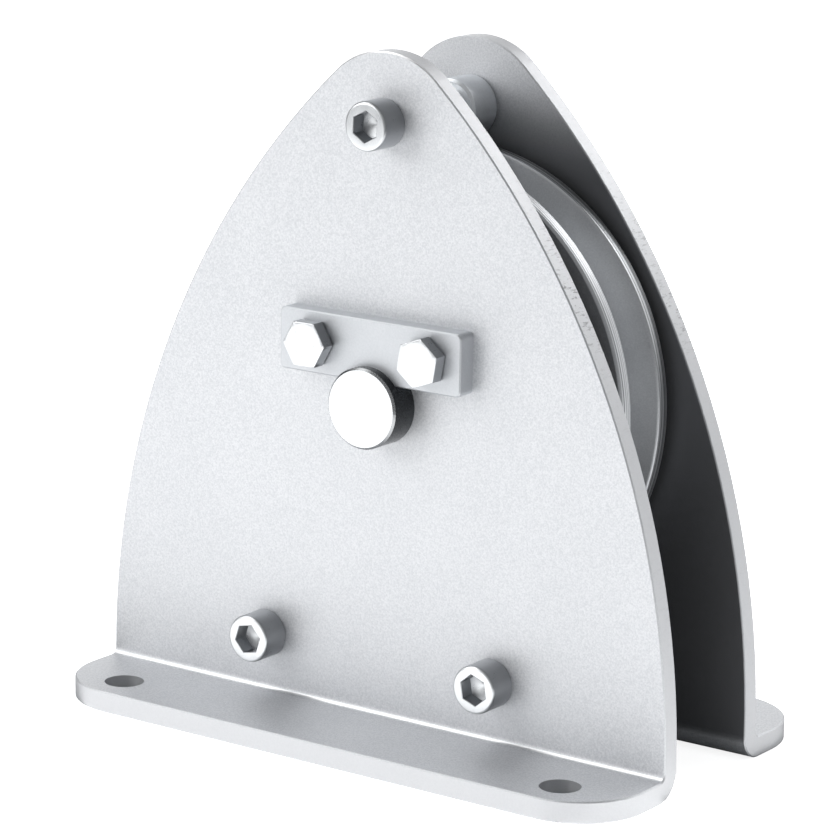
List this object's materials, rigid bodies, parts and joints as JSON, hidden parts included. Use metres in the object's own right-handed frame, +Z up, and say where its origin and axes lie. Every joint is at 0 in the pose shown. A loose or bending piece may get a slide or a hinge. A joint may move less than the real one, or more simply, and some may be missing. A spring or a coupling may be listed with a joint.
{
  "type": "sheave block",
  "caption": "Foot-mounted rope sheave block: a grooved sheave turns on a fixed axle between bent side plates with bolt-down flanges.",
  "frame": {"origin": "middle of the base, level with the underside of both flanges", "axes": "+Z up, +X along the width of the side plates, +Y from the front plate, which carries the axle holder, to the rear plate; the axle runs along Y"},
  "size_m": [0.25, 0.1462, 0.254],
  "materials": {
    "plate_steel": "zinc plated sheet, fine matt",
    "bright_steel": "turned and zinc plated",
    "fastener_steel": "bright zinc plated",
    "holder_steel": "zinc plated flat bar",
    "sheave_steel": "turned steel",
    "spring_steel": "phosphated spring steel",
    "bearing_steel": "ground and polished",
    "seal_rubber": "moulded nitrile rubber",
    "cage_plastic": "moulded polyamide"
  },
  "bodies": {
    "frame": {"front_side_plate": "plate_steel", "rear_side_plate": "plate_steel", "top_sleeve": "bright_steel", "lower_sleeves": "bright_steel", "top_boss": "bright_steel", "lower_bosses": "bright_steel", "front_cap_screws": "fastener_steel", "rear_cap_screws": "fastener_steel", "axle": "bright_steel", "axle_holder": "holder_steel", "holder_bolts": "fastener_steel", "front_distance_ring": "bright_steel", "rear_distance_ring": "bright_steel", "front_bearing_inner_ring": "bearing_steel", "rear_bearing_inner_ring": "bearing_steel"},
    "wheel": {"sheave": "sheave_steel", "front_circlip": "spring_steel", "rear_circlip": "spring_steel", "front_bearing_outer_ring": "bearing_steel", "rear_bearing_outer_ring": "bearing_steel", "front_bearing_seals": "seal_rubber", "rear_bearing_seals": "seal_rubber"},
    "front_ball_set": {"front_bearing_balls": "bearing_steel", "front_bearing_cage": "cage_plastic"},
    "rear_ball_set": {"rear_bearing_balls": "bearing_steel", "rear_bearing_cage": "cage_plastic"}
  },
  "joints": [
    {"name": "sheave_spin", "type": "hinge", "parent": "frame", "child": "wheel", "pos_m": [0, 0, 0.126], "axis": [0, 1, 0], "continuous": true},
    {"name": "front_ball_set_spin", "type": "hinge", "parent": "frame", "child": "front_ball_set", "pos_m": [0, 0, 0.126], "axis": [0, 1, 0], "continuous": true},
    {"name": "rear_ball_set_spin", "type": "hinge", "parent": "frame", "child": "rear_ball_set", "pos_m": [0, 0, 0.126], "axis": [0, 1, 0], "continuous": true}
  ],
  "couplings": [
    {"joint": "front_ball_set_spin", "follows": "sheave_spin", "ratio": 0.58401},
    {"joint": "rear_ball_set_spin", "follows": "sheave_spin", "ratio": 0.58401}
  ]
}
